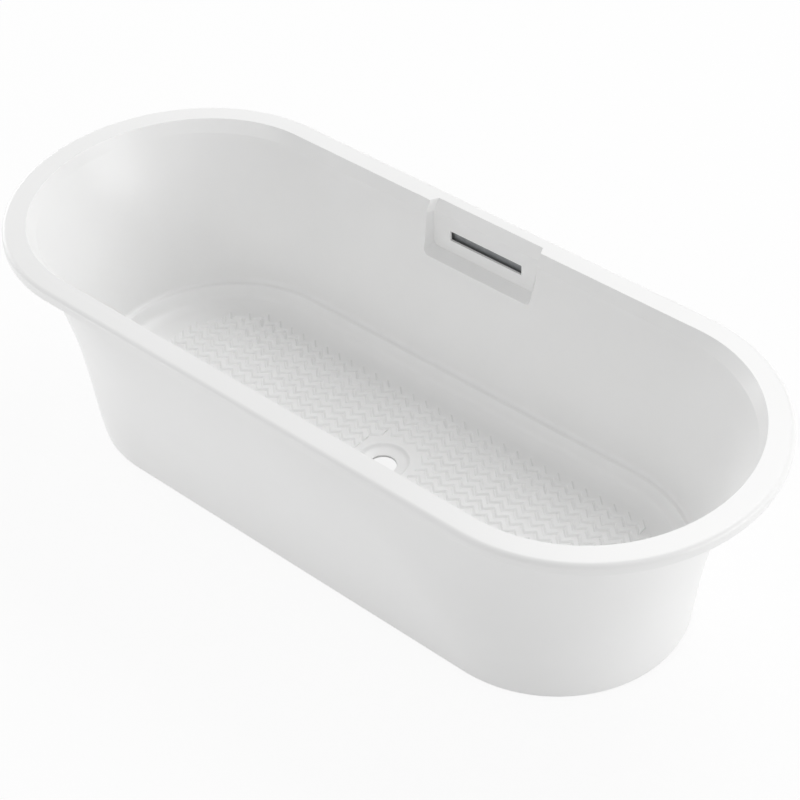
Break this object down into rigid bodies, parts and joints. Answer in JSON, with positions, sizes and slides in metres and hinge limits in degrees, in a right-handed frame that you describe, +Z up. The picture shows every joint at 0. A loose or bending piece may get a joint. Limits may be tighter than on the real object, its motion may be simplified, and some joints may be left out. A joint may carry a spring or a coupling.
{
  "type": "freestanding bathtub",
  "caption": "Oval freestanding bathtub: rolled flat rim, tapered skirt, slotted overflow pocket, zigzag slip tread, open waste hole and levelling feet.",
  "frame": {"origin": "on the floor, under the middle of the bath", "axes": "+X along the length, +Y towards the overflow side, +Z up"},
  "size_m": [1.7, 0.73, 0.478],
  "materials": {
    "white_acrylic": "gloss",
    "white_skirt": "gloss",
    "bond_bead": "matte",
    "board_wood": "resin sealed",
    "block_wood": "sawn",
    "frame_steel": "galvanised",
    "zinc_steel": "zinc plated",
    "pad_plastic": "matte",
    "gasket_rubber": "matte",
    "duct_plastic": "matte"
  },
  "bodies": {
    "tub": {"basin": "white_acrylic", "slip_tread": "white_acrylic", "skirt": "white_skirt", "rim_bond": "bond_bead", "floor_board": "board_wood", "frame_rail_front": "frame_steel", "frame_rail_rear": "frame_steel", "cross_tube_left": "frame_steel", "cross_tube_right": "frame_steel", "corner_angles": "frame_steel", "board_screws": "zinc_steel", "weld_nuts": "frame_steel", "lock_nuts": "zinc_steel", "skirt_blocks": "block_wood", "skirt_stays": "frame_steel", "stay_screws": "zinc_steel", "overflow_gasket": "gasket_rubber", "overflow_duct": "duct_plastic"},
    "foot_pad_1": {"foot_pad_1": "pad_plastic"},
    "foot_stem_1": {"foot_stem_1": "zinc_steel"},
    "foot_pad_2": {"foot_pad_2": "pad_plastic"},
    "foot_stem_2": {"foot_stem_2": "zinc_steel"},
    "foot_pad_3": {"foot_pad_3": "pad_plastic"},
    "foot_stem_3": {"foot_stem_3": "zinc_steel"},
    "foot_pad_4": {"foot_pad_4": "pad_plastic"},
    "foot_stem_4": {"foot_stem_4": "zinc_steel"}
  },
  "joints": [
    {"name": "foot_1_lift", "type": "slide", "parent": "tub", "child": "foot_pad_1", "axis": [0, 0, -1], "range_m": [0, 0.02]},
    {"name": "foot_1_turn", "type": "hinge", "parent": "foot_pad_1", "child": "foot_stem_1", "pos_m": [-0.48, -0.15, 0.015], "axis": [0, 0, -1], "range_deg": [0, 4115]},
    {"name": "foot_2_lift", "type": "slide", "parent": "tub", "child": "foot_pad_2", "axis": [0, 0, -1], "range_m": [0, 0.02]},
    {"name": "foot_2_turn", "type": "hinge", "parent": "foot_pad_2", "child": "foot_stem_2", "pos_m": [0.48, -0.15, 0.015], "axis": [0, 0, -1], "range_deg": [0, 4115]},
    {"name": "foot_3_lift", "type": "slide", "parent": "tub", "child": "foot_pad_3", "axis": [0, 0, -1], "range_m": [0, 0.02]},
    {"name": "foot_3_turn", "type": "hinge", "parent": "foot_pad_3", "child": "foot_stem_3", "pos_m": [-0.48, 0.15, 0.015], "axis": [0, 0, -1], "range_deg": [0, 4115]},
    {"name": "foot_4_lift", "type": "slide", "parent": "tub", "child": "foot_pad_4", "axis": [0, 0, -1], "range_m": [0, 0.02]},
    {"name": "foot_4_turn", "type": "hinge", "parent": "foot_pad_4", "child": "foot_stem_4", "pos_m": [0.48, 0.15, 0.015], "axis": [0, 0, -1], "range_deg": [0, 4115]}
  ],
  "couplings": [
    {"joint": "foot_1_turn", "follows": "foot_1_lift", "rad_per_m": 3590.4},
    {"joint": "foot_2_turn", "follows": "foot_2_lift", "rad_per_m": 3590.4},
    {"joint": "foot_3_turn", "follows": "foot_3_lift", "rad_per_m": 3590.4},
    {"joint": "foot_4_turn", "follows": "foot_4_lift", "rad_per_m": 3590.4}
  ]
}
